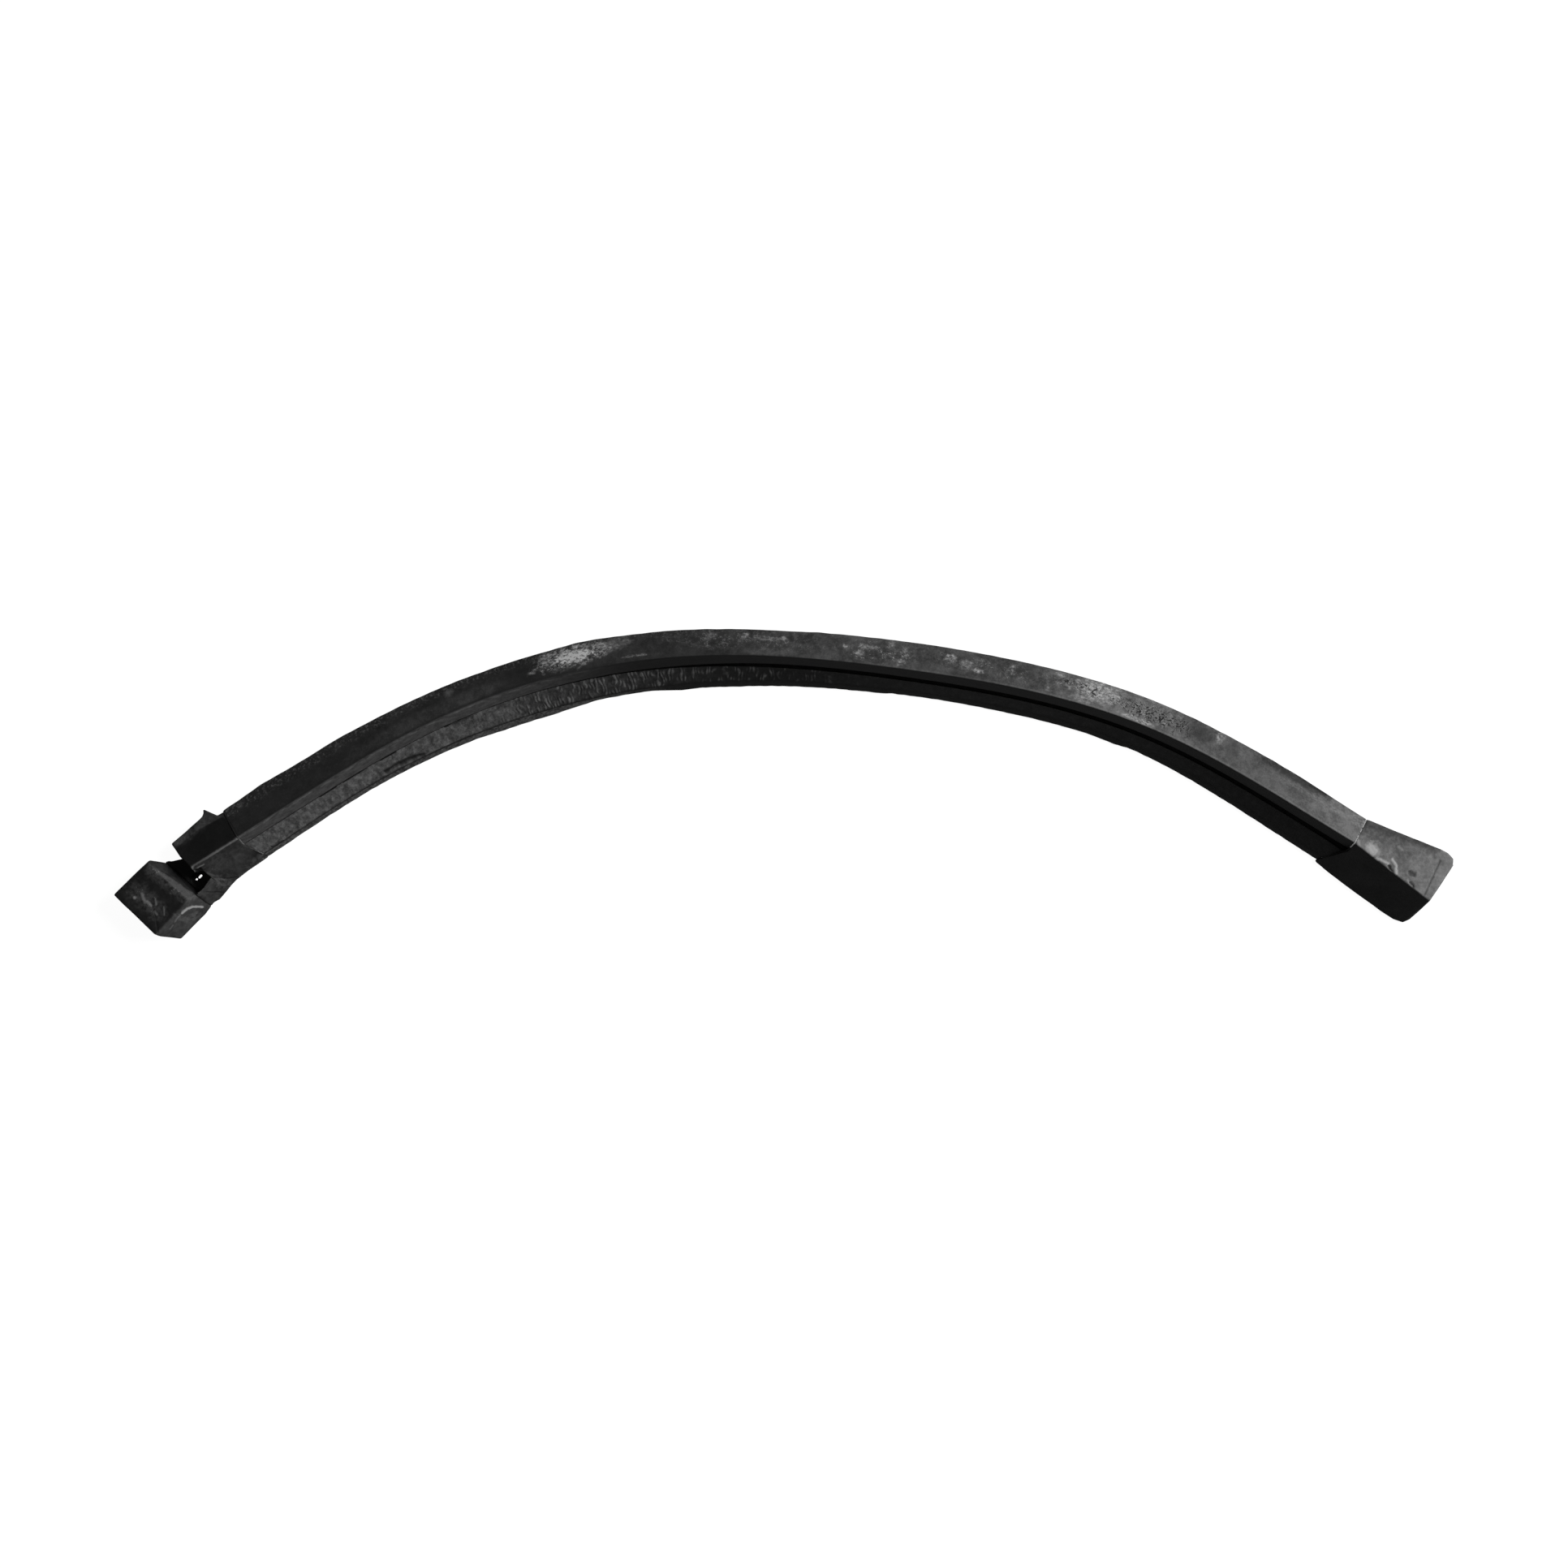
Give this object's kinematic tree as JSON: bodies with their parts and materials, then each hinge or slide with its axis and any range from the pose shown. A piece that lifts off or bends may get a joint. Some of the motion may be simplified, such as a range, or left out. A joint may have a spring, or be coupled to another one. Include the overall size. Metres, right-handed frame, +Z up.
{
  "type": "weatherstrip seal",
  "caption": "Arched rubber weatherstrip with a hollow bulb, a lipped flange and a moulded block at each end; seals the edge of a vehicle opening.",
  "frame": {"origin": "middle of the whole seal seen from above, at the level of the underside it rests on", "axes": "+X along the chord of the arch, from the notched end to the wedge end; +Y towards the crown; +Z up from the base to the ridge"},
  "size_m": [0.9853, 0.2277, 0.0271],
  "materials": {
    "bulb_rubber": "smooth black sponge rubber skin, scuffed and bloomed grey",
    "base_rubber": "dense black rubber, matt",
    "flange_sponge": "open-skinned black sponge, wrinkled across",
    "lip_rubber": "thin black lip, matt",
    "carrier_steel": "plain spring steel strip",
    "cord_yarn": "twisted polyester yarn",
    "left_moulded_rubber": "moulded black rubber, satin",
    "block_rubber": "moulded black rubber, scratched",
    "right_moulded_rubber": "moulded black rubber, bloomed grey and dented",
    "splice_film": "thin joint film, squeezed to the surface",
    "plug_foam": "cut foam rubber",
    "insert_steel": "zinc-plated steel"
  },
  "bodies": {
    "root": {"sealing_bulb": "bulb_rubber", "base_extrusion": "base_rubber", "flange_pad": "flange_sponge", "drip_lip": "lip_rubber", "steel_carrier": "carrier_steel", "stretch_cord": "cord_yarn", "left_end_moulding": "left_moulded_rubber", "left_end_block": "block_rubber", "right_end_moulding": "right_moulded_rubber", "left_splice_film": "splice_film", "right_splice_film": "splice_film", "left_bulb_plug": "plug_foam", "right_bulb_plug": "plug_foam", "left_insert_plate": "insert_steel", "right_insert_plate": "insert_steel", "left_fixing_bush": "insert_steel", "right_fixing_bush": "insert_steel"}
  },
  "joints": []
}
